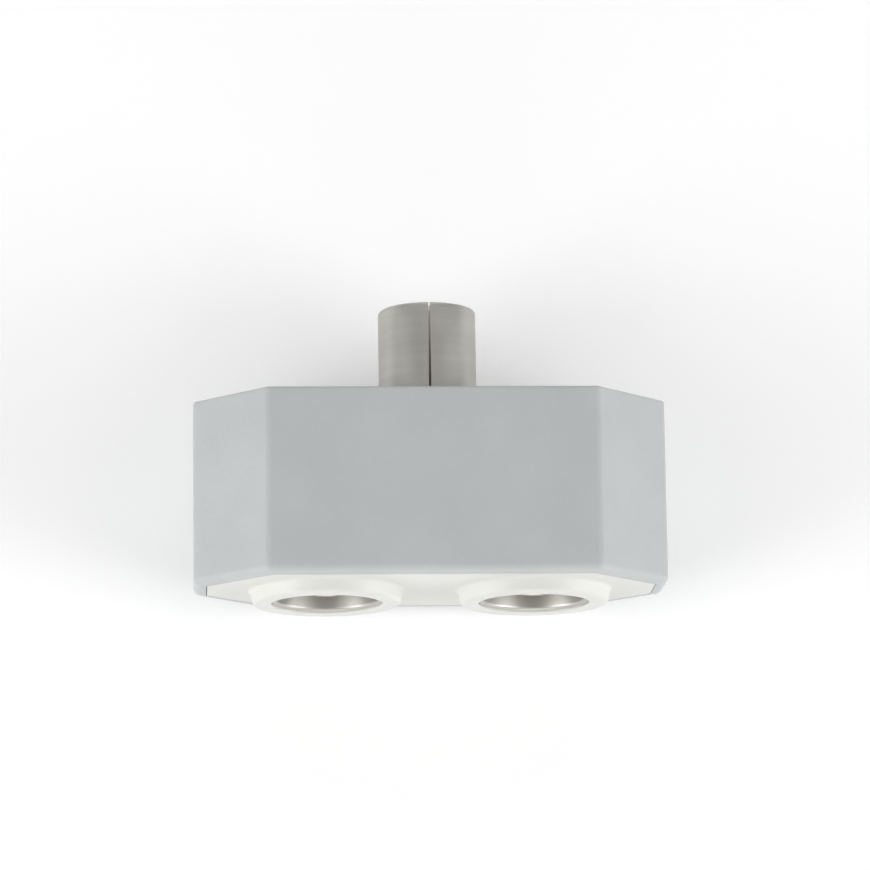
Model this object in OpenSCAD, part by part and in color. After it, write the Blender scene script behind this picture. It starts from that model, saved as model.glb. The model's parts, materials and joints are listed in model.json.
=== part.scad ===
// Two-way coaxial aerial splitter: a slit plug on one long face and two sockets opposite it,
// in a moulded housing with four long chamfers.
// The part lies on its back face, at z = 0. +X runs along its width, +Y along the plug towards
// its tip, and +Z from the back face to the front face. The plug's axis is at x = 0.

/* [Housing] */
// Wall of the front, back and sides
wall = 2; // [1.8:0.1:2.4]
// Wall at the plug end
end_wall = 1.6; // [1.2:0.1:3]
// Legs of the four long chamfers
chamfer = 7; // [5.5:0.1:7.6]
// Housing beyond the collars at each side
side_margin = 5.4; // [5.2:0.1:9]
// Housing beyond the collars at the front and back
face_margin = 2.6; // [2.3:0.1:6]
// Radius of the long edges
long_edge_r = 0.4; // [0.2:0.1:1]
// Radius of the edges round the plug end
plug_edge_r = 0.3; // [0.1:0.1:0.8]
// Radius of the edges round the socket end
socket_edge_r = 0.8; // [0.3:0.1:0.9]
// Width of the rim round the cover
rim_w = 1.2; // [1:0.1:1.4]
// Thickness of the inner ribs that steady the frame
rib_t = 1; // [0.8:0.1:1.4]
// Distance of those ribs from the middle
rib_x = 12.5; // [8:0.5:14]

/* [End cover] */
// Thickness of the cover plate
cover_t = 1.6; // [1.2:0.1:2.4]
// Height of the collars above the cover
collar_h = 1.4; // [0.8:0.1:4]
// Diameter of the collars at their root
collar_d = 14.8; // [13.4:0.1:17]
// How much narrower a collar is at its mouth
collar_draft = 0.6; // [0:0.1:1]
// Radius of the outer lip of the collars
collar_lip_r = 0.35; // [0.1:0.05:0.5]
// Height of the snap hooks above the cover
hook_h = 6; // [4:0.1:9]
// Thickness of a hook's arm
hook_t = 1.2; // [0.8:0.1:1.6]
// How far a hook's barb reaches into the wall
barb = 0.7; // [0.4:0.05:0.9]
// Height of the barb
barb_h = 1.4; // [1:0.1:2]

/* [Sockets] */
// Distance between the socket axes
socket_pitch = 20; // [18.5:0.1:30]
// Bore of the socket shells
socket_bore = 9.6; // [9.5:0.05:10.4]
// Sheet thickness of the shells
shell_t = 0.5; // [0.3:0.05:0.6]
// Length of the shells, from the mouth to the closed end
shell_l = 10.6; // [9:0.1:16]
// Width of the ring that closes a shell, round the neck of its insulator
shell_end_w = 2.2; // [1.5:0.1:2.4]
// How far a shell's mouth lies below the end of its collar
mouth_recess = 0.2; // [0:0.05:0.6]
// Width of the flange round a shell
shell_flange_w = 0.8; // [0.5:0.05:1]
// Bore of the centre contacts
contact_bore = 2.4; // [2.2:0.05:2.6]
// Outer diameter of the centre contacts
contact_d = 4; // [3.4:0.1:4.4]
// How far a contact's mouth lies below the shell's mouth
contact_recess = 0.9; // [0.2:0.1:3]
// Chamfer at the mouths of the shells and the contacts
lead_in = 0.25; // [0.1:0.05:0.25]
// Width of the cross slots in the contacts
contact_slot = 0.25; // [0.15:0.05:0.4]
// Depth of those slots
contact_slot_l = 4.2; // [2:0.1:5]
// How far the flange of a contact stands out
contact_flange_w = 0.4; // [0.2:0.05:0.5]
// Thickness of that flange
contact_base_t = 0.5; // [0.3:0.05:0.8]
// Diameter of a contact's solder tail
tail_d = 1.2; // [0.8:0.1:1.4]
// How far a contact's tail stands above the board
tail_out = 1; // [0.6:0.1:2]
// Thickness of the insulator disc in a shell
insulator_t = 1.5; // [1:0.1:2.5]
// Height of the boss on it, which carries the contact
boss_h = 0.8; // [0.5:0.1:1.5]
// How much wider that boss is than the contact, all round
boss_w = 0.6; // [0.5:0.1:1]

/* [Plug] */
// Outer diameter of the plug sleeve
plug_d = 9.5; // [9:0.05:10]
// Length of the sleeve outside the housing
plug_l = 9.5; // [7:0.1:14]
// How much thicker the sleeve's wall is where it passes the housing
plug_neck = 0.25; // [0.2:0.05:0.5]
// Wall of the sleeve
plug_t = 0.55; // [0.4:0.05:0.8]
// Radius of the sleeve's outer lip
plug_lip_r = 0.35; // [0.1:0.05:0.4]
// Number of slits in the sleeve, the first in front
slit_count = 2; // [1:1:6]
// Width of the slits at the tip of the sleeve
slit_w = 0.15; // [0.1:0.05:0.4]
// Width of the slits at their round closed ends
slit_root_w = 0.25; // [0.2:0.05:0.8]
// Distance of those ends from the housing
slit_root = 1.1; // [0.8:0.1:4]
// Width of the flange that bears on the housing from inside
plug_flange_w = 1.4; // [0.8:0.1:2]
// Thickness of that flange
plug_flange_t = 0.6; // [0.4:0.05:1]
// Thickness of the lip that rivets the sleeve to the frame
lip_t = 0.4; // [0.3:0.05:0.6]
// Diameter of the centre pin
pin_d = 2.4; // [2.2:0.05:2.6]
// How far the pin stands out of the sleeve
pin_out = 0.6; // [0:0.1:2]
// Radius at the tip of the pin
pin_tip_r = 0.8; // [0.2:0.1:1]
// How far the pin's head stands out, where it bears on the insulator
pin_head_w = 0.6; // [0.3:0.1:1]
// Thickness of that head
pin_head_t = 0.5; // [0.3:0.1:0.8]
// Diameter of the pin's solder tail
pin_tail_d = 1; // [0.8:0.1:1.4]
// Thickness of the insulator in the sleeve
bush_t = 2.6; // [1.5:0.1:4]
// Height of the collar on it, round the pin
bush_collar_h = 0.8; // [0.5:0.1:1.5]
// Wall of that collar
bush_collar_w = 1; // [0.6:0.1:1.6]

/* [Screen] */
// Sheet thickness of the frame and the socket plate
sheet_t = 0.5; // [0.4:0.05:0.6]
// Depth of the frame, front to back
frame_d = 12.8; // [12.4:0.1:15]
// Width of the frame's legs
leg_w = 9; // [5:0.1:10]
// Width of the tab at the foot of a leg
leg_tab_w = 3; // [2:0.1:4]
// Inside radius of the folds
fold_r = 0.5; // [0.3:0.05:1]

/* [Circuit] */
// Thickness of the circuit board
board_t = 1; // [0.8:0.1:1.6]
// Height of the board above the socket shells
board_lift = 0.8; // [0.8:0.1:2]
// Room between the board and the frame
parts_h = 4.1; // [4.1:0.1:8]
// Distance of the cores and the capacitor from the plug's axis
parts_row = 3.8; // [3.7:0.1:3.9]
// Distance of the resistor from the plug's axis, on the other side
resistor_row = 3.9; // [3:0.1:4.5]
// Diameter of the enamelled wire
wire_d = 0.3; // [0.2:0.02:0.32]
// Pitch of the turns in the splitting transformer
turn_pitch = 0.36; // [0.34:0.02:0.5]
// Radius of the bends where a winding's ends leave its core
wire_bend_r = 0.4; // [0.3:0.05:0.5]
// Turns of the splitting transformer
splitter_turns = 3; // [1:1:3]
// Distance between the two holes of its core
core_hole_pitch = 2.2; // [2:0.1:2.6]
// Thinnest wall of its core
core_wall = 0.6; // [0.4:0.05:0.7]
// Length of its core
core_l = 3.6; // [3:0.1:4]
// Turns of the matching transformer
matching_turns = 4; // [1:1:4]
// Angle between those turns
bead_step = 40; // [36:1:45]
// Distance of its ferrite bead from the middle, and of the capacitor on the other side
bead_x = 5.4; // [5.3:0.1:5.6]
// Diameter of the bead
bead_d = 3; // [2.8:0.1:3.2]
// Hole of the bead
bead_bore = 1.5; // [1.4:0.05:1.6]
// Length of the bead
bead_l = 3.2; // [2.5:0.1:3.5]
// Length of the resistor's body
resistor_l = 6.3; // [5:0.1:7]
// Diameter of the resistor's body at its ends
resistor_d = 2.3; // [1.8:0.1:2.5]
// Length of the thicker ends of the resistor's body
resistor_cap_l = 1.2; // [0.8:0.1:2]
// How much thinner its waist is, all round
resistor_waist = 0.15; // [0.05:0.05:0.3]
// Radius of the edges of its body
resistor_edge_r = 0.4; // [0.2:0.05:0.4]
// Straight length of its leads beside the body
resistor_lead_l = 0.8; // [0.4:0.1:1.2]
// Radius of the bend in those leads
lead_bend_r = 0.5; // [0.3:0.05:0.8]
// Diameter of the capacitor's disc
capacitor_d = 3.2; // [2.6:0.1:3.4]
// Thickness of the capacitor's disc
capacitor_t = 1.5; // [1:0.1:2]
// Distance between the capacitor's leads
capacitor_pitch = 2; // [1.5:0.1:2.2]
// Height of the capacitor's disc above the board
capacitor_lift = 0.2; // [0.1:0.05:0.3]
// How far its leads reach into the disc
capacitor_grip = 0.8; // [0.4:0.1:1]
// Diameter of the leads of the resistor and the capacitor
lead_d = 0.5; // [0.4:0.05:0.6]
// How far the tails and leads stick out of the board
lead_out = 0.5; // [0.4:0.05:0.55]
// Width of the solder round a tail or a lead
solder_w = 0.36; // [0.2:0.02:0.4]

/* [Clearances] */
// Gap round a piece that is pushed into another
push_gap = 0.05; // [0.02:0.01:0.1]
// Gap between the cover and the housing's rim
cover_gap = 0.08; // [0.04:0.01:0.2]
// Gap between the sheet metal and what is beside it
sheet_gap = 0.2; // [0.1:0.05:0.3]
// Gap between a hook's arm and the wall
hook_gap = 0.15; // [0.05:0.05:0.4]
// Gap between a hook's sides and the chamfers
hook_side_gap = 0.4; // [0.2:0.1:1]
// Gap round a tail or a lead in the board
board_gap = 0.1; // [0.05:0.01:0.2]
// Gap between the wire and the core
wire_gap = 0.05; // [0.02:0.01:0.1]

/* [Hidden] */
$fn = 64;
eps = 0.01;
arc_steps = 4;
turn = 45;

// Radii that follow from the sizes above
shell_r = socket_bore / 2 + shell_t;
shell_flange_r = shell_r + shell_flange_w;
plug_r = plug_d / 2;
plug_in_r = plug_r - plug_t;
neck_out_r = plug_r + plug_neck;
plug_flange_r = plug_r + plug_flange_w;

// The housing grows with what it holds
body_w = socket_pitch + collar_d + 2 * side_margin;
body_t = collar_d + 2 * face_margin;
axis_z = body_t / 2;
hollow_w = body_w - 2 * wall;
hollow_t = body_t - 2 * wall;

// Heights along the plug's axis, from the end of the collars to the tip of the pin
inside_l = shell_l - collar_h + mouth_recess + board_lift + board_t + parts_h + sheet_t + plug_flange_t;
body_l = inside_l + end_wall;
total_l = collar_h + body_l + plug_l + pin_out;
collar_y = -total_l / 2;
face_y = collar_y + collar_h;
cover_y = face_y + cover_t;
plate_y = cover_y + sheet_t;
mouth_y = collar_y + mouth_recess;
shell_end_y = mouth_y + shell_l;
board_y = shell_end_y + board_lift;
board_top_y = board_y + board_t;
sheet_y = board_top_y + parts_h;
flange_y = sheet_y + sheet_t;
ceiling_y = flange_y + plug_flange_t;
plug_y = ceiling_y + end_wall;
tip_y = plug_y + plug_l;
bush_y = sheet_y - lip_t;

// The frame stands clear of the shells' flanges
leg_in_x = socket_pitch / 2 + shell_flange_r + sheet_gap;
leg_out_x = leg_in_x + sheet_t;
plate_x = leg_out_x + sheet_t;

// Snap hooks, on the flat inner side of the housing
hook_w = 2 * (diagonal(wall) - hollow_w / 2 - hook_side_gap);
catch_y = cover_y + hook_h - barb_h;

// Insulator and contact of a socket
disc_y = shell_end_y - shell_t - insulator_t;
boss_r = contact_d / 2 + boss_w;
contact_base_y = disc_y - boss_h - contact_base_t;
contact_y = mouth_y + contact_recess;
neck_r = socket_bore / 2 - shell_end_w;

// Cores, winding ends and leads on the board
core_hole_d = (splitter_turns - 0.5) * turn_pitch + wire_d + 2 * wire_gap;
core_h = core_hole_d + 2 * core_wall;
core_axis_y = board_top_y + core_h / 2;
bead_axis_y = board_top_y + bead_d / 2;
bead_in_r = bead_bore / 2 - wire_gap - wire_d / 2;
bead_out_r = bead_d / 2 + wire_gap + wire_d / 2;
wire_sides = 8;
loop_steps = 7;
splitter_runs = [for (i = [0 : 2 * splitter_turns - 1])
    [(i % 2 == 0 ? -1 : 1) * core_hole_pitch / 2, turn_pitch / 2 * (i + 0.5 - splitter_turns)]];
matching_runs = [for (i = [0 : 2 * matching_turns - 1])
    let (r = i % 2 == 0 ? bead_in_r : bead_out_r)
    let (a = 90 + bead_step * (floor(i / 2) - (matching_turns - 1) / 2))
    r * [cos(a), sin(a)]];
splitter_end = core_l / 2 + wire_gap + wire_bend_r;
matching_end = bead_l / 2 + wire_gap + wire_bend_r;
splitter_feet = [for (i = [0, 2 * splitter_turns - 1])
    [-splitter_end, parts_row - splitter_runs[i].x, wire_d]];
matching_feet = [for (i = [0, 2 * matching_turns - 1])
    [matching_runs[i].x - bead_x, parts_row - matching_end, wire_d]];
resistor_foot_x = resistor_l / 2 + resistor_lead_l + lead_bend_r;
resistor_feet = [for (s = [-1, 1]) [s * resistor_foot_x, -resistor_row, lead_d]];
capacitor_feet = [for (s = [-1, 1]) [bead_x + s * capacitor_pitch / 2, parts_row, lead_d]];
feet = concat(splitter_feet, matching_feet, resistor_feet, capacitor_feet, [[0, 0, pin_tail_d]]);
tails = [for (s = [-1, 1]) [s * socket_pitch / 2, 0, tail_d]];

// Half the width of the octagon across a pair of chamfers, times the root of 2
function diagonal(inset) = (body_w + body_t) / 2 - chamfer - inset * sqrt(2);

// Corner k of the octagon, between its sides that face 45 * k and 45 * (k + 1) degrees
function octagon_corner(k, inset) =
    let (w = body_w / 2 - inset, t = body_t / 2 - inset, d = diagonal(inset))
    let (by_face = k % 4 == 1 || k % 4 == 2)
    let (sx = k >= 2 && k <= 5 ? -1 : 1, sz = k <= 3 ? 1 : -1)
    [sx * (by_face ? d - t : w), sz * (by_face ? t : d - w)];

function arc(centre, r, from, to) =
    [for (j = [0 : arc_steps]) let (a = from + (to - from) * j / arc_steps)
        centre + r * [cos(a), sin(a)]];

// Cross-section of the housing, seen along the plug's axis, with its walls moved in by inset
module octagon(inset) {
    polygon([for (k = [0 : 7]) octagon_corner(k, inset)]);
}

module rounded_octagon(r) {
    polygon([for (k = [0 : 7]) each arc(octagon_corner(k, r), r, turn * k, turn * (k + 1))]);
}

// Side view of the housing between two opposite walls, with its rounded end edges
module side_view(half) {
    a = socket_edge_r;
    b = plug_edge_r;
    polygon(concat(
        arc([half - a, a], a, -90, 0), arc([half - b, body_l - b], b, 0, 90),
        arc([b - half, body_l - b], b, 90, 180), arc([a - half, a], a, 180, 270)));
}

// Moves a shape drawn upwards from z = 0 so that it points along +Y from y, on the axis at x
module on_axis(x, y) {
    translate([x, y, axis_z]) rotate([-90, 0, 0]) children();
}

// Extrudes an outline drawn in X and Z round the plug's axis, from y0 to y1
module between(y0, y1) {
    translate([0, y1, axis_z]) rotate([90, 0, 0]) linear_extrude(y1 - y0) children();
}

module mirrored() {
    children();
    mirror([1, 0, 0]) children();
}

module housing_block() {
    intersection() {
        between(face_y, plug_y) rounded_octagon(long_edge_r);
        crossed_side_views();
    }
}

// The side views between the four pairs of walls, crossed so that every end edge is rounded
module crossed_side_views() {
    halves = [body_w / 2, diagonal(0) / sqrt(2), body_t / 2, diagonal(0) / sqrt(2)];
    intersection_for (k = [0 : 3])
        translate([0, face_y, axis_z]) rotate([0, turn * k, 0])
            linear_extrude(2 * body_w, center = true) side_view(halves[k]);
}

module barb_pocket() {
    translate([hollow_w / 2 - eps, catch_y, axis_z - hook_w / 2 - cover_gap])
        cube([barb + cover_gap + eps, barb_h + cover_gap, hook_w + 2 * cover_gap]);
}

// Ribs on the front and back walls that steady the frame
module frame_ribs() {
    rib_h = (hollow_t - frame_d) / 2 - sheet_gap;
    for (side = [-1, 1])
        translate([rib_x, (cover_y + ceiling_y) / 2, axis_z + side * (hollow_t - rib_h) / 2])
            cube([rib_t, ceiling_y - cover_y, rib_h], center = true);
}

module housing() {
    color([0.71, 0.72, 0.72]) {
        difference() {
            housing_block();
            between(cover_y - eps, ceiling_y) octagon(wall);
            between(face_y - eps, cover_y) octagon(rim_w);
            on_axis(0, ceiling_y - eps) cylinder(r = neck_out_r + push_gap, h = end_wall + 2 * eps);
            mirrored() barb_pocket();
        }
        mirrored() frame_ribs();
    }
}

module collar() {
    root_r = collar_d / 2;
    mouth_r = root_r - collar_draft / 2;
    rotate_extrude() polygon(concat([[0, 0]],
        arc([mouth_r - collar_lip_r, collar_lip_r], collar_lip_r, -90, 0),
        [[root_r, collar_h], [root_r, collar_h + cover_t / 2], [0, collar_h + cover_t / 2]]));
}

// One snap hook: an arm along the side wall, with a barb that catches in the wall
module snap_hook() {
    arm_x = hollow_w / 2 - hook_gap;
    barb_x = hollow_w / 2 + barb;
    top_y = cover_y + hook_h;
    translate([0, 0, axis_z - hook_w / 2]) linear_extrude(hook_w) polygon([
        [arm_x - hook_t, cover_y - cover_t / 2], [arm_x, cover_y - cover_t / 2], [arm_x, catch_y],
        [barb_x, catch_y], [barb_x, catch_y + barb_h / 3], [arm_x - hook_t / 3, top_y],
        [arm_x - hook_t, top_y]]);
}

module end_cover() {
    color([0.90, 0.90, 0.87]) difference() {
        union() {
            between(face_y, cover_y) octagon(rim_w + cover_gap);
            mirrored() on_axis(socket_pitch / 2, collar_y) collar();
            mirrored() snap_hook();
        }
        mirrored() on_axis(socket_pitch / 2, collar_y - eps)
            cylinder(r = shell_r + push_gap, h = collar_h + cover_t + 2 * eps);
    }
}

// Flat outline of the sheet-metal pieces and the board, cut to the inside of the housing
module sheet_outline(half_w) {
    intersection() {
        square([2 * half_w, frame_d], center = true);
        octagon(wall + sheet_gap);
    }
}

// One end of the folded strip, in X and Y: a flat top with rounded ends, open below
module arch(half_w, top, foot, r) {
    translate([-half_w, foot]) square([2 * half_w, top - r - foot]);
    translate([r - half_w, foot]) square([2 * (half_w - r), top - foot]);
    for (s = [-1, 1]) translate([s * (half_w - r), top - r]) circle(r);
}

module folded_strip() {
    translate([0, 0, axis_z - leg_w / 2]) linear_extrude(leg_w) difference() {
        arch(leg_out_x, flange_y, plate_y, fold_r + sheet_t);
        arch(leg_in_x, sheet_y, plate_y - eps, fold_r);
    }
}

module shield_frame() {
    color([0.72, 0.73, 0.72]) difference() {
        union() {
            folded_strip();
            between(sheet_y, flange_y) sheet_outline(leg_in_x - fold_r);
            mirrored() translate([leg_in_x, cover_y, axis_z - leg_tab_w / 2])
                cube([sheet_t, plate_y - cover_y + eps, leg_tab_w]);
        }
        on_axis(0, sheet_y - eps) cylinder(r = neck_out_r + push_gap, h = sheet_t + 2 * eps);
    }
}

module socket_plate() {
    color([0.72, 0.73, 0.72]) difference() {
        between(cover_y, plate_y) sheet_outline(plate_x);
        mirrored() on_axis(socket_pitch / 2, cover_y - eps)
            cylinder(r = shell_r + push_gap, h = sheet_t + 2 * eps);
        mirrored() translate([leg_in_x - push_gap, cover_y - eps, axis_z - leg_tab_w / 2 - push_gap])
            cube([sheet_t + 2 * push_gap, sheet_t + 2 * eps, leg_tab_w + 2 * push_gap]);
    }
}

// A slit that widens from the tip of the sleeve to a round end near the housing
module slit() {
    root = plug_y - bush_y + slit_root + slit_root_w / 2;
    tip = tip_y - bush_y + eps;
    rotate([90, 0, 90]) linear_extrude(plug_d) {
        translate([0, root]) circle(d = slit_root_w);
        polygon([[-slit_root_w / 2, root], [slit_root_w / 2, root], [slit_w / 2, tip],
            [-slit_w / 2, tip]]);
    }
}

module plug_sleeve() {
    sleeve_l = tip_y - bush_y;
    sheet_end = lip_t + sheet_t;
    flange_end = sheet_end + plug_flange_t;
    color([0.66, 0.65, 0.62]) on_axis(0, bush_y) difference() {
        rotate_extrude() polygon(concat([
            [plug_in_r, 0], [plug_flange_r - lip_t, 0], [plug_flange_r - lip_t, lip_t],
            [neck_out_r, lip_t], [neck_out_r, sheet_end], [plug_flange_r, sheet_end],
            [plug_flange_r, flange_end], [neck_out_r, flange_end],
            [neck_out_r, flange_end + end_wall], [plug_r, flange_end + end_wall]],
            arc([plug_r - plug_lip_r, sleeve_l - plug_lip_r], plug_lip_r, 0, 90),
            [[plug_in_r, sleeve_l]]));
        for (k = [0 : slit_count - 1]) rotate(360 / slit_count * k - 90) slit();
    }
}

module plug_insulator() {
    color([0.93, 0.92, 0.88]) on_axis(0, bush_y) difference() {
        union() {
            cylinder(r = plug_in_r - push_gap, h = bush_t);
            cylinder(r = pin_d / 2 + bush_collar_w, h = bush_t + bush_collar_h);
        }
        translate([0, 0, -eps])
            cylinder(r = pin_d / 2 + push_gap, h = bush_t + bush_collar_h + 2 * eps);
    }
}

module plug_pin() {
    pin_r = pin_d / 2;
    tail_r = pin_tail_d / 2;
    foot = board_y - lead_out;
    base = bush_y - foot;
    pin_l = tip_y + pin_out - foot;
    head_r = pin_r + pin_head_w;
    color([0.74, 0.72, 0.66]) on_axis(0, foot) rotate_extrude() polygon(concat(
        [[0, 0], [tail_r, 0], [tail_r, base - pin_head_t], [head_r, base - pin_head_t],
            [head_r, base], [pin_r, base]],
        arc([pin_r - pin_tip_r, pin_l - pin_tip_r], pin_tip_r, 0, 90),
        [[0, pin_l]]));
}

module socket_shell(x) {
    in_r = socket_bore / 2;
    flange = plate_y - mouth_y;
    color([0.70, 0.70, 0.68]) on_axis(x, mouth_y) rotate_extrude() polygon([
        [in_r + lead_in, 0], [shell_r, 0], [shell_r, flange], [shell_flange_r, flange],
        [shell_flange_r, flange + shell_t], [shell_r, flange + shell_t], [shell_r, shell_l],
        [neck_r + push_gap, shell_l], [neck_r + push_gap, shell_l - shell_t],
        [in_r, shell_l - shell_t], [in_r, lead_in]]);
}

module socket_insulator(x) {
    color([0.93, 0.92, 0.88]) on_axis(x, disc_y) difference() {
        union() {
            cylinder(r = socket_bore / 2 - push_gap, h = insulator_t);
            translate([0, 0, -boss_h]) cylinder(r = boss_r, h = boss_h + eps);
            cylinder(r = neck_r, h = board_y - disc_y);
        }
        translate([0, 0, -boss_h - eps])
            cylinder(d = tail_d + 2 * push_gap, h = board_y - disc_y + boss_h + 2 * eps);
    }
}

// Slotted receptacle for the pin of a mating plug, with its solder tail
module socket_contact(x) {
    r = contact_d / 2;
    bore_r = contact_bore / 2;
    flange_r = r + contact_flange_w;
    base = contact_base_y - contact_y;
    tail = board_top_y + tail_out - contact_y;
    color([0.74, 0.72, 0.66]) on_axis(x, contact_y) difference() {
        rotate_extrude() polygon([
            [bore_r + lead_in, 0], [r - lead_in, 0], [r, lead_in], [r, base], [flange_r, base],
            [flange_r, base + contact_base_t], [tail_d / 2, base + contact_base_t],
            [tail_d / 2, tail], [0, tail], [0, base - contact_base_t],
            [bore_r, base - contact_base_t], [bore_r, lead_in]]);
        for (a = [turn, -turn]) rotate(a)
            translate([-contact_d, -contact_slot / 2, -eps])
                cube([2 * contact_d, contact_slot, contact_slot_l + eps]);
    }
}

module circuit_board() {
    color([0.64, 0.52, 0.30]) difference() {
        between(board_y, board_top_y) sheet_outline(leg_in_x - sheet_gap);
        for (p = concat(feet, tails)) translate([0, board_y - eps, axis_z])
            translate([p.x, 0, p.y]) rotate([-90, 0, 0])
                cylinder(d = p.z + 2 * board_gap, h = board_t + 2 * eps);
    }
}

// Points of half a loop between the runs at p and q, bulging up or down from z
function half_loop(p, q, z, up) =
    let (middle = (p + q) / 2, half = (q - p) / 2)
    [for (j = [1 : loop_steps - 1]) let (a = 180 * j / loop_steps)
        [middle.x - half.x * cos(a), middle.y - half.y * cos(a), z + up * norm(half) * sin(a)]];

// Points of a wire end that leaves a run at z = -reach, turns down and ends at the height foot
function wire_end(p, reach, foot) = concat(
    [for (j = [1 : 3]) [p.x, p.y - wire_bend_r * (1 - cos(30 * j)), -reach - wire_bend_r * sin(30 * j)]],
    [[p.x, foot, -reach - wire_bend_r]]);

function reversed(points) = [for (i = [len(points) - 1 : -1 : 0]) points[i]];

// Route of a winding: runs through the core and back, joined by half loops
function winding_route(runs, reach, foot) =
    let (last = len(runs) - 1)
    concat(reversed(wire_end(runs[0], reach, foot)),
        [for (i = [0 : last]) let (p = runs[i], up = i % 2 == 0 ? 1 : -1)
            each concat([[p.x, p.y, -up * reach], [p.x, p.y, up * reach]],
                i < last ? half_loop(p, runs[i + 1], up * reach, up) : [])],
        wire_end(runs[last], reach, foot));

function unit(v) = v / norm(v);
function heading(route, i) = unit(route[min(i + 1, len(route) - 1)] - route[max(i - 1, 0)]);
function square_to(v, t) = unit(v - (v * t) * t);

// Round wire along a route. Its sideways direction is carried along, so that it doesn't twist.
module wire(route) {
    n = len(route);
    sideways = [for (i = 0, v = square_to([1, 0, 0], heading(route, 0)); i < n;
        i = i + 1, v = i < n ? square_to(v, heading(route, i)) : v) v];
    points = [for (i = [0 : n - 1], k = [0 : wire_sides - 1])
        let (a = 360 * k / wire_sides, v = sideways[i])
        route[i] + wire_d / 2 * (cos(a) * v + sin(a) * cross(heading(route, i), v))];
    sides = [for (i = [0 : n - 2], k = [0 : wire_sides - 1])
        let (next = (k + 1) % wire_sides, at = i * wire_sides)
        [at + k, at + wire_sides + k, at + wire_sides + next, at + next]];
    start_cap = [for (k = [0 : wire_sides - 1]) k];
    end_cap = [for (k = [wire_sides - 1 : -1 : 0]) (n - 1) * wire_sides + k];
    polyhedron(points, concat(sides, [start_cap, end_cap]));
}

module winding(runs, l, foot) {
    wire(winding_route(runs, l / 2 + wire_gap, foot));
}

// Holes of the splitting transformer's core run along X
module at_splitter() {
    translate([0, core_axis_y, axis_z + parts_row]) rotate([0, 90, 0]) children();
}

// The hole of the matching transformer's bead runs along Z
module at_bead() {
    translate([-bead_x, bead_axis_y, axis_z + parts_row]) children();
}

module splitter_core() {
    color([0.24, 0.24, 0.25]) at_splitter() linear_extrude(core_l, center = true) difference() {
        union() {
            square([core_hole_pitch, core_h], center = true);
            for (s = [-1, 1]) translate([s * core_hole_pitch / 2, 0]) circle(d = core_h);
        }
        for (s = [-1, 1]) translate([s * core_hole_pitch / 2, 0]) circle(d = core_hole_d);
    }
}

module splitter_winding() {
    color([0.72, 0.36, 0.18]) at_splitter()
        winding(splitter_runs, core_l, board_y - lead_out - core_axis_y);
}

module matching_core() {
    color([0.24, 0.24, 0.25]) at_bead() linear_extrude(bead_l, center = true) difference() {
        circle(d = bead_d);
        circle(d = bead_bore);
    }
}

module matching_winding() {
    color([0.72, 0.36, 0.18]) at_bead()
        winding(matching_runs, bead_l, board_y - lead_out - bead_axis_y);
}

module at_resistor() {
    translate([0, board_top_y + resistor_d / 2, axis_z - resistor_row]) children();
}

module balance_resistor() {
    r = resistor_d / 2;
    waist_r = r - resistor_waist;
    edge_r = resistor_edge_r;
    half = resistor_l / 2;
    cap = half - resistor_cap_l;
    color([0.80, 0.71, 0.56]) at_resistor() rotate([0, 90, 0]) rotate_extrude() polygon(concat(
        [[0, -half]], arc([r - edge_r, edge_r - half], edge_r, -90, 0),
        [[r, -cap], [waist_r, edge_r - cap], [waist_r, cap - edge_r], [r, cap]],
        arc([r - edge_r, half - edge_r], edge_r, 0, 90), [[0, half]]));
}

module resistor_lead() {
    height = resistor_d / 2 + board_t + lead_out - lead_bend_r;
    translate([resistor_l / 2, 0, 0]) rotate([0, 90, 0]) cylinder(d = lead_d, h = resistor_lead_l);
    translate([resistor_l / 2 + resistor_lead_l, -lead_bend_r, 0])
        rotate_extrude(angle = 90) translate([lead_bend_r, 0]) circle(d = lead_d);
    translate([resistor_foot_x, -lead_bend_r - height, 0]) rotate([-90, 0, 0])
        cylinder(d = lead_d, h = height);
}

module resistor_leads() {
    color([0.78, 0.78, 0.78]) at_resistor() mirrored() resistor_lead();
}

module capacitor_lead_pair() {
    for (p = capacitor_feet) translate([p.x, board_y - lead_out, axis_z + p.y]) rotate([-90, 0, 0])
        cylinder(d = lead_d, h = board_t + lead_out + capacitor_lift + capacitor_grip);
}

module trim_capacitor() {
    r = capacitor_d / 2;
    half = capacitor_t / 2;
    edge_r = 0.4 * capacitor_t;
    color([0.62, 0.36, 0.20]) difference() {
        translate([bead_x, board_top_y + capacitor_lift + r, axis_z + parts_row])
            rotate_extrude() polygon(concat(
                [[0, -half]], arc([r - edge_r, edge_r - half], edge_r, -90, 0),
                arc([r - edge_r, half - edge_r], edge_r, 0, 90), [[0, half]]));
        capacitor_lead_pair();
    }
}

module capacitor_leads() {
    color([0.78, 0.78, 0.78]) capacitor_lead_pair();
}

// A cone of solder on a tail or lead of diameter d, its wide end at z = 0
module solder_cone(d) {
    h = solder_w + d / 8;
    difference() {
        cylinder(r1 = d / 2 + board_gap + solder_w, r2 = d / 2 + solder_w / 3, h = h);
        translate([0, 0, -eps]) cylinder(d = d, h = h + 2 * eps);
    }
}

module solder_joints() {
    color([0.80, 0.80, 0.79]) {
        for (p = feet) translate([p.x, board_y, axis_z + p.y]) rotate([90, 0, 0]) solder_cone(p.z);
        for (p = tails) on_axis(p.x, board_top_y) solder_cone(p.z);
    }
}

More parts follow.
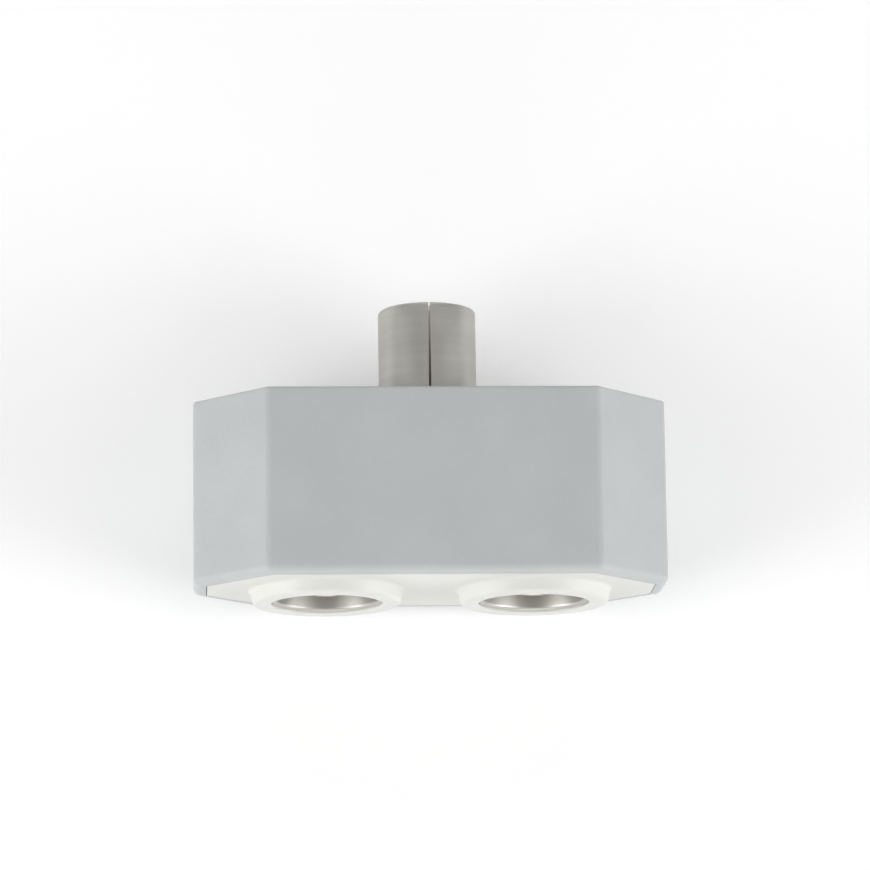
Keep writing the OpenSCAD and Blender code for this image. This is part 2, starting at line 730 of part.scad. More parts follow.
housing();
end_cover();
shield_frame();
socket_plate();
plug_sleeve();
plug_insulator();
plug_pin();
socket_shell(-socket_pitch / 2);  // socket_shell_left
socket_insulator(-socket_pitch / 2);  // socket_insulator_left
socket_contact(-socket_pitch / 2);  // socket_contact_left
socket_shell(socket_pitch / 2);  // socket_shell_right
socket_insulator(socket_pitch / 2);  // socket_insulator_right
socket_contact(socket_pitch / 2);  // socket_contact_right
circuit_board();
splitter_core();
splitter_winding();
matching_core();
matching_winding();
balance_resistor();
resistor_leads();
trim_capacitor();
capacitor_leads();
solder_joints();
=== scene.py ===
# %% [markdown]
# # A two-way aerial splitter, dressed for its portrait
#
# The object is a small moulded box that shares one aerial lead between two. A slit metal plug
# stands on one long side of it, and two sockets in round collars sit in the cover opposite. Its
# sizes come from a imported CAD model, the frame. What the frame lacks is made here, step by step:
# edges as fine as moulded plastic and turned metal have them, the finish of every surface, a
# camera and soft light.

# %% Load the frame
import json
import math

import bmesh
import bpy
from mathutils import Matrix, Vector


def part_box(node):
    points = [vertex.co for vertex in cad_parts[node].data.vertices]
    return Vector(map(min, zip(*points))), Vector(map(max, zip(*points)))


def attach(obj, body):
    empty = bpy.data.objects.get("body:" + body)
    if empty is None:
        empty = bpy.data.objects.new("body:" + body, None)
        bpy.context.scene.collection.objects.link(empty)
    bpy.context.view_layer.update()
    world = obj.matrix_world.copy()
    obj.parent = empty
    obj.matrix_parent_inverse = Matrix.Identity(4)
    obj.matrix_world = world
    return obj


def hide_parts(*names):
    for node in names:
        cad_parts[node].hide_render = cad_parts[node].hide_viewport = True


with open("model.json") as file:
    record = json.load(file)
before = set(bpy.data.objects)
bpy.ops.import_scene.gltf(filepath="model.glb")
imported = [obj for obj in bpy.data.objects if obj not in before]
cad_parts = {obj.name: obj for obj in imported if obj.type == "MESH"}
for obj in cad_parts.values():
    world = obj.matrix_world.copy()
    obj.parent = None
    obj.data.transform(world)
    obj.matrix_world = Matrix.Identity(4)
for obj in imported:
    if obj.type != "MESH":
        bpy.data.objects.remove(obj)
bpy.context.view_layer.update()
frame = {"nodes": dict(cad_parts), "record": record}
nodes = frame["nodes"]
scene = bpy.context.scene


# %% [markdown]
# ## Sizes
#
# Mesh code is easier to read in millimetres, so each piece is modelled in millimetres and shrunk
# to metres when it is finished. The sizes that the frame's own boxes give are read from them, so
# a piece can't drift from the node it stands for. The rest are the ones that a box can't tell,
# such as the thickness of a wall.

# %% Sizes from the frame
def box_mm(node):
    """Lowest and highest corner of a node, in millimetres."""
    low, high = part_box(node)
    return low * 1000, high * 1000


housing_low, housing_high = box_mm("housing")
cover_low = box_mm("end_cover")[0]
sleeve_low, sleeve_high = box_mm("plug_sleeve")
shell_low, shell_high = box_mm("socket_shell_right")
contact_low, contact_high = box_mm("socket_contact_right")
disc_low, disc_high = box_mm("socket_insulator_right")
bush_low, bush_high = box_mm("plug_insulator")
pin_low, pin_high = box_mm("plug_pin")

axis_z = (housing_low.z + housing_high.z) / 2
body_w = housing_high.x - housing_low.x
body_t = housing_high.z - housing_low.z
face_y = housing_low.y
plug_y = housing_high.y
collar_y = cover_low.y
tip_y = sleeve_high.y
socket_x = (shell_low.x + shell_high.x) / 2
print("housing", round(body_w, 2), "x", round(plug_y - face_y, 2), "x", round(body_t, 2),
      "mm, sockets at x =", round(socket_x, 2))

# %% Sizes that a box can't tell
chamfer = 7.0
wall = 2.0
end_wall = 1.6
rim_w = 1.2
cover_t = 1.6
cover_gap = 0.08
cover_y = face_y + cover_t
ceiling_y = plug_y - end_wall

socket_bore_r = 4.8
shell_r = 5.3
collar_root_r = 7.4
collar_mouth_r = 7.1
plug_r = 4.75
plug_bore_r = 4.2
plug_neck_r = 5.0
push_gap = 0.05


# %% [markdown]
# ## The camera
#
# The splitter is looked at from in front and slightly from its socket end, so that this end shows
# as a narrow strip below the broad front face. Here it lies on its back, and the same view looks
# down on it. The camera also stands a little to the left of the middle, which makes the left
# chamfer look wider than the right one. It is about 450 mm away, so the sides draw together only
# a little. It is turned until the front face sits where it should in the picture, and needs no
# lens shift.

# %% Camera
picture_pixels = 870
pixels_per_mm = 10.55
camera_distance = 450.0
camera_tilt = math.radians(11.3)
camera_side = math.radians(3.2)
camera_roll = math.radians(0.15)
face_pixel_x, face_pixel_y = 434.6, 478.2
sensor_w = 36.0


def camera_axes(back):
    """Right, up and back of a camera that keeps the splitter's width level in the picture."""
    level_up = back.cross(Vector((1, 0, 0))).normalized()
    level_right = level_up.cross(back)
    right = level_right * math.cos(camera_roll) - level_up * math.sin(camera_roll)
    return right, back.cross(right), back


front_centre = Vector((0, (face_y + plug_y) / 2, housing_high.z))
to_camera = Vector((-math.tan(camera_side), -math.sin(camera_tilt), math.cos(camera_tilt)))
right, up, back = camera_axes(to_camera.normalized())
eye = front_centre + back * camera_distance
aim = front_centre + up * (face_pixel_y - picture_pixels / 2) / pixels_per_mm
aim += right * (picture_pixels / 2 - face_pixel_x) / pixels_per_mm

camera_data = bpy.data.cameras.new("camera")
camera_data.sensor_width = sensor_w
camera_data.lens = sensor_w * pixels_per_mm * camera_distance / picture_pixels
camera_data.clip_start = 0.01
camera = bpy.data.objects.new("camera", camera_data)
scene.collection.objects.link(camera)
camera.location = eye / 1000
axes = camera_axes((eye - aim).normalized())
camera.rotation_euler = Matrix(axes).transposed().to_euler()
scene.camera = camera
print("lens", round(camera_data.lens, 1), "mm, camera at", [round(v) for v in eye], "mm")


# %% [markdown]
# ## Light and floor
#
# The picture has no hard shadow, and the chamfers and the socket end are lighter than the front
# face. That is the look of a light tent: low panels at both sides and at the socket end, higher
# ones behind the plug and beside the object, and a weak roof. The rounded metal of the plug shows
# the same light, bright at its sides and darker in the middle. Together they light a surface at
# about its own colour.

# %% Light panels and sky
def light_panel(name, place, size, watts):
    """A wide soft light that faces the splitter."""
    data = bpy.data.lights.new(name, "AREA")
    data.shape = "RECTANGLE"
    data.size, data.size_y = size
    data.energy = watts
    panel = bpy.data.objects.new(name, data)
    scene.collection.objects.link(panel)
    panel.location = place
    to_part = Vector((0, 0, axis_z / 1000)) - Vector(place)
    panel.rotation_euler = to_part.to_track_quat("-Z", "Y").to_euler()
    return panel


for side, name in ((-1, "left"), (1, "right")):
    light_panel(f"low_{name}", (side * 0.45, -0.15, 0.10), (0.24, 0.50), 1.72)
    light_panel(f"high_{name}", (side * 0.40, -0.10, 0.30), (0.35, 0.45), 0.5)
light_panel("low_sockets", (0, -0.45, 0.08), (0.50, 0.12), 0.49)
light_panel("high_plug", (0, 0.45, 0.30), (0.50, 0.30), 0.5)
light_panel("roof", (0, 0.02, 0.55), (0.45, 0.40), 0.15)

world = bpy.data.worlds.new("tent")
scene.world = world
world.use_nodes = True
tent = world.node_tree.nodes["Background"]
tent.inputs["Color"].default_value = (1, 1, 1, 1)
tent.inputs["Strength"].default_value = 0.35
scene.view_settings.view_transform = "Standard"


# %% A new material
def new_material(name, **settings):
    """A material with a Principled shader whose plain sockets are set by name."""
    material = bpy.data.materials.new(name)
    material.use_nodes = True
    shader = material.node_tree.nodes["Principled BSDF"]
    for socket, value in settings.items():
        shader.inputs[socket.replace("_", " ").title()].default_value = value
    return material, material.node_tree, shader


# %% [markdown]
# The floor is nearly white. A faint glow lifts it to full white, but only for rays that come
# from the camera or from a reflection, so it puts no more light on the object. Because the glow
# is added to the lit floor rather than laid over it, the soft shadow stays.

# %% Floor
floor_reach = 2.0
floor_white = 0.93
floor_glow = 0.1

floor_bm = bmesh.new()
bmesh.ops.create_grid(floor_bm, x_segments=1, y_segments=1, size=floor_reach)
floor_mesh = bpy.data.meshes.new("floor")
floor_bm.to_mesh(floor_mesh)
floor_bm.free()
floor = bpy.data.objects.new("floor", floor_mesh)
scene.collection.objects.link(floor)

floor_material, tree, shader = new_material("white_floor", roughness=0.9)
shader.inputs["Base Color"].default_value = (floor_white, floor_white, floor_white, 1)
shader.inputs["Emission Color"].default_value = (1, 1, 1, 1)
rays = tree.nodes.new("ShaderNodeLightPath").outputs
seen = rays["Is Camera Ray"]
for other in ("Is Glossy Ray", "Is Transmission Ray"):
    either = tree.nodes.new("ShaderNodeMath")
    either.operation = "MAXIMUM"
    tree.links.new(seen, either.inputs[0])
    tree.links.new(rays[other], either.inputs[1])
    seen = either.outputs[0]
glow = tree.nodes.new("ShaderNodeMath")
glow.operation = "MULTIPLY"
glow.inputs[1].default_value = floor_glow
tree.links.new(seen, glow.inputs[0])
tree.links.new(glow.outputs[0], shader.inputs["Emission Strength"])
floor_mesh.materials.append(floor_material)


# %% [markdown]
# ## Mesh helpers
#
# Nearly every metal piece here is turned on a lathe: half of its cross-section, spun round an
# axis. `outline_ring` draws such a half section and rounds its corners with a vertex bevel, and
# `spin_round` spins it. `finish_piece` does what every piece needs at the end: normals that point
# outwards, smooth shading that stops at real edges, metres, the root body, the material slot of
# the node that it stands for, and the hiding of that node.

# %% Turned pieces
round_steps = 96
merge_distance = 0.0005
same_place = 0.001


def outline_ring(bm, points, centre_x=0.0, closed=True):
    """Draws a half section of (radius, y, rounding) points beside the axis at centre_x."""
    corners = [bm.verts.new((centre_x + radius, y, axis_z)) for radius, y, _ in points]
    last = len(corners) if closed else len(corners) - 1
    for i in range(last):
        bm.edges.new((corners[i], corners[(i + 1) % len(corners)]))
    for corner, (_, _, rounding) in zip(corners, points):
        if rounding:
            bmesh.ops.bevel(bm, geom=[corner], offset=rounding, offset_type="OFFSET",
                            segments=max(3, round(12 * rounding)), profile=0.5,
                            affect="VERTICES", material=-1)


def spin_round(bm, centre_x=0.0, steps=round_steps):
    """Spins all that is in the bmesh once round the axis at centre_x."""
    bmesh.ops.spin(bm, geom=bm.verts[:] + bm.edges[:], cent=(centre_x, 0, axis_z),
                   axis=(0, 1, 0), dvec=(0, 0, 0), angle=math.tau, steps=steps,
                   use_merge=True, use_duplicate=False)
    bmesh.ops.remove_doubles(bm, verts=bm.verts, dist=merge_distance)


# %% Finish a piece
smooth_below = math.radians(32)
made = {}


def finish_piece(name, bm, stands_for):
    """Turns a bmesh in millimetres into an object that stands for nodes of the frame."""
    bmesh.ops.recalc_face_normals(bm, faces=bm.faces)
    bmesh.ops.scale(bm, verts=bm.verts, vec=(0.001, 0.001, 0.001))
    loose = sum(not edge.is_manifold for edge in bm.edges)
    mesh = bpy.data.meshes.new(name)
    bm.to_mesh(mesh)
    bm.free()
    mesh.shade_smooth()
    mesh.set_sharp_from_angle(angle=smooth_below)
    piece = bpy.data.objects.new(name, mesh)
    scene.collection.objects.link(piece)
    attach(piece, "root")
    slot = next(part["material_slot"] for part in frame["record"]["subparts"]
                if part["node"] == stands_for[0])
    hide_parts(*stands_for)
    made[name] = slot
    print(name, len(mesh.polygons), "faces,", loose, "open edges,", slot)
    return piece


# %% [markdown]
# ## Housing
#
# The housing is one moulding, open at the socket end. Its cross-section is a rectangle with the
# four corners cut off at 45 degrees, so it can start as a cube with its four long edges
# bevelled once. Insetting and pushing in the end face makes the step for the cover and then the
# hollow. The outer edges are not equally round: the long ones are crisp, the ones round the
# socket end are soft. A Bevel modifier reads such differences from a weight on each edge.

# %% Octagonal block
def octagon_block(bm, margin, y0, y1):
    """A block with the housing's cross-section moved in by a margin, from y0 to y1."""
    leg = chamfer - margin * (2 - math.sqrt(2))
    new = bmesh.ops.create_cube(bm, size=1)
    bmesh.ops.scale(bm, verts=new["verts"],
                    vec=(body_w - 2 * margin, y1 - y0, body_t - 2 * margin))
    bmesh.ops.translate(bm, verts=new["verts"], vec=(0, (y0 + y1) / 2, axis_z))
    long_edges = {edge for vert in new["verts"] for edge in vert.link_edges
                  if abs((edge.verts[0].co - edge.verts[1].co).y) > 0.5 * (y1 - y0)}
    bmesh.ops.bevel(bm, geom=list(long_edges), offset=leg, offset_type="OFFSET", segments=1,
                    profile=0.5, affect="EDGES", material=-1)


def flat_face(bm, axis, value):
    """The largest face that lies across axis 0, 1 or 2 at a value."""
    flat = [face for face in bm.faces
            if all(abs(vert.co[axis] - value) < same_place for vert in face.verts)]
    return max(flat, key=lambda face: face.calc_area())


def inset(bm, face, thickness=0.0, depth=0.0):
    """Moves the edges of a face inwards by a thickness, and the face out by a depth."""
    bmesh.ops.inset_individual(bm, faces=[face], thickness=thickness, depth=depth,
                               use_even_offset=True)


# %% Round holes in a flat face
def cut_holes(bm, face, holes):
    """Fills a flat face again round circular holes of (x, radius), and returns their edges."""
    y = face.calc_center_median().y
    rim = list(face.edges)
    normal = face.normal.copy()
    bmesh.ops.delete(bm, geom=[face], context="FACES_ONLY")
    loops = []
    for x, radius in holes:
        turned = Matrix.Translation((x, y, axis_z)) @ Matrix.Rotation(math.pi / 2, 4, "X")
        ring = bmesh.ops.create_circle(bm, cap_ends=False, radius=radius,
                                       segments=round_steps, matrix=turned)
        loops.append(list({edge for vert in ring["verts"] for edge in vert.link_edges}))
    bmesh.ops.triangle_fill(bm, use_beauty=True, edges=rim + sum(loops, []), normal=normal)
    return loops


# %% A patch of a flat wall
def wall_patch(bm, face, low, high):
    """Cuts a rectangle out of a flat face, between two corners, and returns it."""
    for axis in range(3):
        across = Vector([float(i == axis) for i in range(3)])
        for bound in (low[axis], high[axis]):
            spread = [vert.co[axis] for vert in face.verts]
            if min(spread) < bound - same_place and bound + same_place < max(spread):
                cut = bmesh.ops.bisect_plane(
                    bm, geom=[face, *face.edges, *face.verts], dist=merge_distance,
                    plane_co=across * bound, plane_no=across)
                halves = [item for item in cut["geom"] if isinstance(item, bmesh.types.BMFace)]
                middle = (low[axis] + high[axis]) / 2
                face = next(half for half in halves
                            if min(vert.co[axis] for vert in half.verts) < middle
                            < max(vert.co[axis] for vert in half.verts))
    return face


# %% [markdown]
# Inside, the housing has what holds the rest together: a pocket in each side wall, where a snap
# hook of the cover catches, and four ribs that steady the folded frame. Each is a patch of the
# inner wall, cut out with planes, that is pushed in or pulled out.

# %% Pockets and ribs
hook_w, hook_h, hook_t = 3.54, 6.0, 1.2
hook_gap = 0.15
barb, barb_h, barb_step = 0.7, 1.4, 0.05
catch_y = cover_y + hook_h - barb_h
rib_x, rib_t, rib_h = 12.5, 1.0, 1.4
rib_end_gap = 0.2


def add_pockets_and_ribs(bm):
    """Pushes two pockets into the side walls and pulls four ribs out of the flat ones."""
    for side in (-1, 1):
        inner_wall = flat_face(bm, 0, side * (body_w / 2 - wall))
        half = hook_w / 2 + cover_gap
        pocket = wall_patch(bm, inner_wall, (0, catch_y, axis_z - half),
                            (0, catch_y + barb_h + cover_gap, axis_z + half))
        inset(bm, pocket, depth=-(barb + cover_gap))
    for z in (wall, body_t - wall):
        for x in (-rib_x, rib_x):
            rib = wall_patch(bm, flat_face(bm, 2, z),
                             (x - rib_t / 2, cover_y + rib_end_gap, 0),
                             (x + rib_t / 2, ceiling_y - rib_end_gap, 0))
            inset(bm, rib, depth=rib_h)


# %% Housing
housing_round = 0.8
bevel_room = 1.5


def build_housing():
    """The block with its rim, its hollow, the hole for the plug, the pockets and the ribs."""
    bm = bmesh.new()
    octagon_block(bm, 0, face_y, plug_y)
    socket_end = flat_face(bm, 1, face_y)
    inset(bm, socket_end, thickness=rim_w)
    inset(bm, socket_end, depth=-cover_t)
    inset(bm, socket_end, thickness=wall - rim_w)
    inset(bm, socket_end, depth=cover_y - ceiling_y)
    plug_end = flat_face(bm, 1, plug_y)
    inset(bm, plug_end, thickness=bevel_room)
    hole_r = plug_neck_r + push_gap
    inner = cut_holes(bm, socket_end, [(0, hole_r)])[0]
    outer = cut_holes(bm, plug_end, [(0, hole_r)])[0]
    bmesh.ops.bridge_loops(bm, edges=inner + outer)
    add_pockets_and_ribs(bm)
    return bm


def weigh_outer_edges(bm, along, socket_end, plug_end):
    """Gives the outer edges their bevel weights, by where they are."""
    slack = 0.01
    layer = bm.edges.layers.float.new("bevel_weight_edge")
    for edge in bm.edges:
        ends = [vert.co.y for vert in edge.verts]
        outside = all(max(abs(vert.co.x) - body_w / 2, abs(vert.co.z - axis_z) - body_t / 2)
                      > -slack for vert in edge.verts)
        if not outside:
            continue
        if max(ends) - min(ends) > 0.5 * (plug_y - face_y):
            edge[layer] = along
        elif max(ends) < face_y + slack:
            edge[layer] = socket_end
        elif min(ends) > plug_y - slack:
            edge[layer] = plug_end


bm = build_housing()
weigh_outer_edges(bm, along=0.5, socket_end=1.0, plug_end=0.375)
housing = finish_piece("moulded_housing", bm, ["housing"])
rounding = housing.modifiers.new("moulded_edges", "BEVEL")
rounding.limit_method = "WEIGHT"
rounding.width = housing_round / 1000
rounding.segments = 6
rounding.harden_normals = True


# %% [markdown]
# ## End cover
#
# The off-white cover is a plate that drops into the rim, with a low round collar about each
# socket. A collar starts as the edge of a hole in the plate. Extruding that edge and scaling it
# gives its tapered wall, its flat end and its bore in turn, and bevels round its lips.

# %% Climb along an axis
def climb(bm, loop, centre_x, stations):
    """Extrudes a round edge loop through (radius, y) stations. Returns the loop at each."""
    loops = [loop]
    for radius, y in stations:
        new = bmesh.ops.extrude_edge_only(bm, edges=loops[-1])["geom"]
        verts = [item for item in new if isinstance(item, bmesh.types.BMVert)]
        for vert in verts:
            across = Vector((vert.co.x - centre_x, 0, vert.co.z - axis_z)).normalized() * radius
            vert.co = Vector((centre_x + across.x, y, axis_z + across.z))
        fresh = set(verts)
        loops.append([item for item in new if isinstance(item, bmesh.types.BMEdge)
                      and set(item.verts) <= fresh])
    return loops


# %% Snap hook
def add_hook(bm, side):
    """Raises a hook from the inside of the cover: an arm, and a barb that tapers to its tip."""
    arm_x = body_w / 2 - wall - hook_gap
    low = (min(side * (arm_x - hook_t), side * arm_x), 0, axis_z - hook_w / 2)
    high = (max(side * (arm_x - hook_t), side * arm_x), 0, axis_z + hook_w / 2)
    tip = wall_patch(bm, flat_face(bm, 1, cover_y), low, high)
    barb_x = body_w / 2 - wall + barb
    for rise, outer_x in ((catch_y - cover_y, arm_x), (barb_step, barb_x),
                          (barb_h / 3 - barb_step, barb_x),
                          (barb_h * 2 / 3, arm_x - hook_t / 3)):
        inset(bm, tip, depth=rise)
        edge_x = max(abs(vert.co.x) for vert in tip.verts)
        for vert in tip.verts:
            if abs(abs(vert.co.x) - edge_x) < same_place:
                vert.co.x = side * outer_x


# %% Cover
cover_border = 0.6
collar_root_round, collar_lip_round, collar_bore_round = 0.25, 0.35, 0.15


def build_cover():
    """The plate with its hooks, and the collars that climb out of its outside."""
    bm = bmesh.new()
    octagon_block(bm, rim_w + cover_gap, face_y, cover_y)
    outside = flat_face(bm, 1, face_y)
    inside = flat_face(bm, 1, cover_y)
    inset(bm, outside, thickness=cover_border)
    inset(bm, inside, thickness=cover_border)
    for side in (-1, 1):
        add_hook(bm, side)
    inside = flat_face(bm, 1, cover_y)
    sockets = (-socket_x, socket_x)
    bore_r = shell_r + push_gap
    roots = cut_holes(bm, outside, [(x, collar_root_r) for x in sockets])
    backs = cut_holes(bm, inside, [(x, bore_r) for x in sockets])
    for x, root, back in zip(sockets, roots, backs):
        stations = [(collar_mouth_r, collar_y), (bore_r, collar_y), (bore_r, face_y)]
        loops = climb(bm, root, x, stations)
        bmesh.ops.bridge_loops(bm, edges=loops[3] + back)
        for loop, radius in ((loops[0], collar_root_round), (loops[1], collar_lip_round),
                             (loops[2], collar_bore_round)):
            bmesh.ops.bevel(bm, geom=loop, offset=radius, offset_type="OFFSET", segments=5,
                            profile=0.5, affect="EDGES", material=-1)
    return bm


finish_piece("moulded_cover", build_cover(), ["end_cover"])


# %% [markdown]
# ## Slits
#
# The sleeve of the plug is slit lengthwise so that it springs, and so are the contacts of the
# sockets. A slit has two flat walls and an end, in a round wall that was spun before. A boolean
# would cut it in one go, but it leaves long thin faces. Three cuts with a plane, which split only
# the faces that they cross, give the same edges and stay clean: one across at the slit's end, and
# one along each of its walls. What lies between them is deleted, the end is bridged and the two
# walls are filled.

# %% Cut one slit
def cut_slit(bm, centre_x, angle, root, tip, root_w, tip_w):
    """Slits a turned wall from y = tip to y = root on its side at an angle from the front."""
    out = Vector((math.sin(angle), 0, math.cos(angle)))
    across = Vector((math.cos(angle), 0, -math.sin(angle)))
    centre = Vector((centre_x, root, axis_z))
    towards_tip = Vector((0, math.copysign(1, tip - root), 0))

    def near():
        faces = [face for face in bm.faces
                 if all((vert.co - centre).dot(out) > 0 for vert in face.verts)
                 and abs((face.calc_center_median() - centre).dot(across)) < 2 * root_w
                 and (face.calc_center_median() - centre).dot(towards_tip) > 0]
        edges = {edge for face in faces for edge in face.edges}
        return faces + list(edges) + list({vert for edge in edges for vert in edge.verts})

    bmesh.ops.bisect_plane(bm, geom=near(), dist=merge_distance, plane_co=centre,
                           plane_no=towards_tip)
    walls = []
    for side in (-1, 1):
        foot = centre + across * side * root_w / 2
        head = centre + across * side * tip_w / 2 + Vector((0, tip - root, 0))
        walls.append((foot, (head - foot).cross(out).normalized()))
        bmesh.ops.bisect_plane(bm, geom=near(), dist=merge_distance, plane_co=foot,
                               plane_no=walls[-1][1])
    (left, left_no), (right, right_no) = walls
    between = [face for face in bm.faces
               if (face.calc_center_median() - centre).dot(out) > 0
               and (face.calc_center_median() - centre).dot(towards_tip) > 0
               and (face.calc_center_median() - left).dot(left_no)
               * (face.calc_center_median() - right).dot(right_no) < 0]
    bmesh.ops.delete(bm, geom=between, context="FACES")
    open_edges = [edge for edge in bm.edges if edge.is_boundary]
    end = [edge for edge in open_edges
           if all(abs(vert.co.y - root) < same_place for vert in edge.verts)]
    bridged = bmesh.ops.bridge_loops(bm, edges=end)
    bmesh.ops.holes_fill(bm, edges=[edge for edge in bm.edges if edge.is_boundary], sides=0)
    bmesh.ops.recalc_face_normals(bm, faces=bm.faces)
    return [edge for edge in bridged["edges"]
            if all(abs(abs((vert.co - centre).dot(across)) - root_w / 2) < same_place
                   for vert in edge.verts)]


# %% [markdown]
# ## Plug
#
# The plug is three pieces: the nickel-plated sleeve, the plastic bush in its foot and the pin. The
# sleeve's flange bears on the housing from inside, and a short, slightly thicker neck fills the
# hole in it. The sleeve has one slit in front and one behind. They widen a little towards
# their round ends, because the fingers are squeezed together before plating.

# %% Sleeve
foot_y = sleeve_low.y
flange_r = sleeve_high.x
flange_t, lip_t = 0.6, 0.4
slit_root_y = plug_y + 1.1
slit_root_w, slit_tip_w = 0.25, 0.15
slit_corner_r = 0.11

bm = bmesh.new()
outline_ring(bm, [
    (plug_bore_r, foot_y, 0.1), (flange_r - lip_t, foot_y, 0.12),
    (flange_r - lip_t, foot_y + lip_t, 0), (plug_neck_r, foot_y + lip_t, 0),
    (plug_neck_r, ceiling_y - flange_t, 0), (flange_r, ceiling_y - flange_t, 0.1),
    (flange_r, ceiling_y, 0.1), (plug_neck_r, ceiling_y, 0),
    (plug_neck_r, plug_y, 0.06), (plug_r, plug_y, 0),
    (plug_r, tip_y, 0.35), (plug_bore_r, tip_y, 0.1)])
spin_round(bm)
for angle in (0, math.pi):
    corners = cut_slit(bm, 0, angle, root=slit_root_y, tip=tip_y, root_w=slit_root_w,
                       tip_w=slit_tip_w)
    bmesh.ops.bevel(bm, geom=corners, offset=slit_corner_r, offset_type="OFFSET", segments=5,
                    profile=0.5, affect="EDGES", material=-1)
finish_piece("slit_sleeve", bm, ["plug_sleeve"])

# %% Pin and bush of the plug
pin_foot_y, pin_tip_y = pin_low.y, pin_high.y
bush_foot_y, bush_top_y = bush_low.y, bush_high.y
pin_r, tail_r = 1.2, 0.5
head_r, head_t = pin_high.x, 0.5
boss_w, boss_h = 1.0, 0.8
small_steps = 64

bm = bmesh.new()
outline_ring(bm, [
    (0, pin_foot_y, 0), (tail_r, pin_foot_y, 0.12), (tail_r, bush_foot_y - head_t, 0),
    (head_r, bush_foot_y - head_t, 0.08), (head_r, bush_foot_y, 0.05), (pin_r, bush_foot_y, 0),
    (pin_r, pin_tip_y, 0.8), (0, pin_tip_y, 0)], closed=False)
spin_round(bm, steps=small_steps)
finish_piece("plug_centre_pin", bm, ["plug_pin"])

bm = bmesh.new()
outline_ring(bm, [
    (pin_r + push_gap, bush_foot_y, 0), (bush_high.x, bush_foot_y, 0.1),
    (bush_high.x, bush_top_y - boss_h, 0.15), (pin_r + boss_w, bush_top_y - boss_h, 0.1),
    (pin_r + boss_w, bush_top_y, 0.12), (pin_r + push_gap, bush_top_y, 0.06)])
spin_round(bm, steps=small_steps)
finish_piece("plug_bush", bm, ["plug_insulator"])


# %% [markdown]
# ## Sockets
#
# Both sockets are alike, so each of their pieces is made by a function of its axis. The shell is
# drawn from sheet: its mouth is rolled a little, its closed end curves into a ring, and a flange
# holds it under the cover. The contact in its middle is turned, bored and slit crosswise, and
# stands on a plastic disc.

# %% Shell, disc and contact of a socket
sheet_t = 0.5
disc_neck_r, disc_t = 2.6, 1.5
contact_bore_r, contact_r, contact_tail_r = 1.2, 2.0, 0.6
contact_base_t, contact_slot, contact_slot_l = 0.5, 0.25, 4.2
contact_steps = 80
mouth_round = 0.25


def socket_shell(bm, x):
    """Half section of a drawn shell, with a flange under the cover and a ring at its end."""
    mouth, end = shell_low.y, shell_high.y
    flange, outer = cover_y + sheet_t, shell_high.x - socket_x
    ring = disc_neck_r + push_gap
    outline_ring(bm, [
        (shell_r, mouth, 0.12), (shell_r, flange, 0.06), (outer, flange, 0.1),
        (outer, flange + sheet_t, 0.1), (shell_r, flange + sheet_t, 0.06), (shell_r, end, 0.35),
        (ring, end, 0.05), (ring, end - sheet_t, 0.05), (socket_bore_r, end - sheet_t, 0.2),
        (socket_bore_r, mouth + mouth_round, 0.12), (socket_bore_r + mouth_round, mouth, 0.08)],
        x)
    spin_round(bm, x)


def socket_disc(bm, x):
    """Half section of the disc, with a boss on one side and a neck on the other."""
    boss, neck_end = disc_low.y, disc_high.y
    disc_foot = boss + boss_h
    hole, outer = contact_tail_r + push_gap, disc_high.x - socket_x
    outline_ring(bm, [
        (hole, boss, 0.05), (disc_neck_r, boss, 0.15), (disc_neck_r, disc_foot, 0.08),
        (outer, disc_foot, 0.15), (outer, disc_foot + disc_t, 0.08),
        (disc_neck_r, disc_foot + disc_t, 0), (disc_neck_r, neck_end, 0.1),
        (hole, neck_end, 0.05)], x)
    spin_round(bm, x, steps=small_steps)


def socket_contact(bm, x):
    """Half section of the bored contact with its tail, spun and slit into four fingers."""
    mouth, tail_end = contact_low.y, contact_high.y
    base = disc_low.y - contact_base_t
    outer = contact_high.x - socket_x
    outline_ring(bm, [
        (0, base - contact_base_t, 0), (contact_bore_r, base - contact_base_t, 0.08),
        (contact_bore_r, mouth + mouth_round, 0.06), (contact_bore_r + mouth_round, mouth, 0.05),
        (contact_r - mouth_round, mouth, 0.05), (contact_r, mouth + mouth_round, 0.06),
        (contact_r, base, 0), (outer, base, 0.06), (outer, base + contact_base_t, 0.06),
        (contact_tail_r, base + contact_base_t, 0), (contact_tail_r, tail_end, 0.15),
        (0, tail_end, 0)], x, closed=False)
    spin_round(bm, x, steps=contact_steps)
    for quarter in range(4):
        cut_slit(bm, x, math.radians(45 + 90 * quarter), root=mouth + contact_slot_l, tip=mouth,
                 root_w=contact_slot, tip_w=contact_slot)


# %% Make both sockets
for side, x in (("left", -socket_x), ("right", socket_x)):
    for title, stands_for, build in (("drawn_shell", "socket_shell", socket_shell),
                                     ("socket_disc", "socket_insulator", socket_disc),
                                     ("slit_contact", "socket_contact", socket_contact)):
        bm = bmesh.new()
        build(bm, x)
        finish_piece(f"{title}_{side}", bm, [f"{stands_for}_{side}"])


# %% [markdown]
# ## Patterns in the surface
#
# No surface is one flat colour. Moulded plastic carries the fine pits of a spark-eroded mould,
# turned metal has rings, rolled sheet has lines, and everything that is handled gets faint
# smudges. Edges get a paler colour, partly wear and partly a painted highlight. Several finishes
# share these effects, so each effect is a node group that is built once, with its sizes in
# millimetres. The finishes place it with their own values.

# %% Node helpers
def add(tree, kind, inputs=None, **settings):
    """Adds a shader node. An input is linked where it is a socket, and set where it is a value."""
    node = tree.nodes.new("ShaderNode" + kind)
    for name, value in settings.items():
        setattr(node, name, value)
    for name, value in (inputs or {}).items():
        if isinstance(value, bpy.types.NodeSocket):
            tree.links.new(value, node.inputs[name])
        else:
            node.inputs[name].default_value = value
    return node


def math_node(tree, operation, a, b=0.0, c=0.0):
    return add(tree, "Math", {0: a, 1: b, 2: c}, operation=operation).outputs[0]


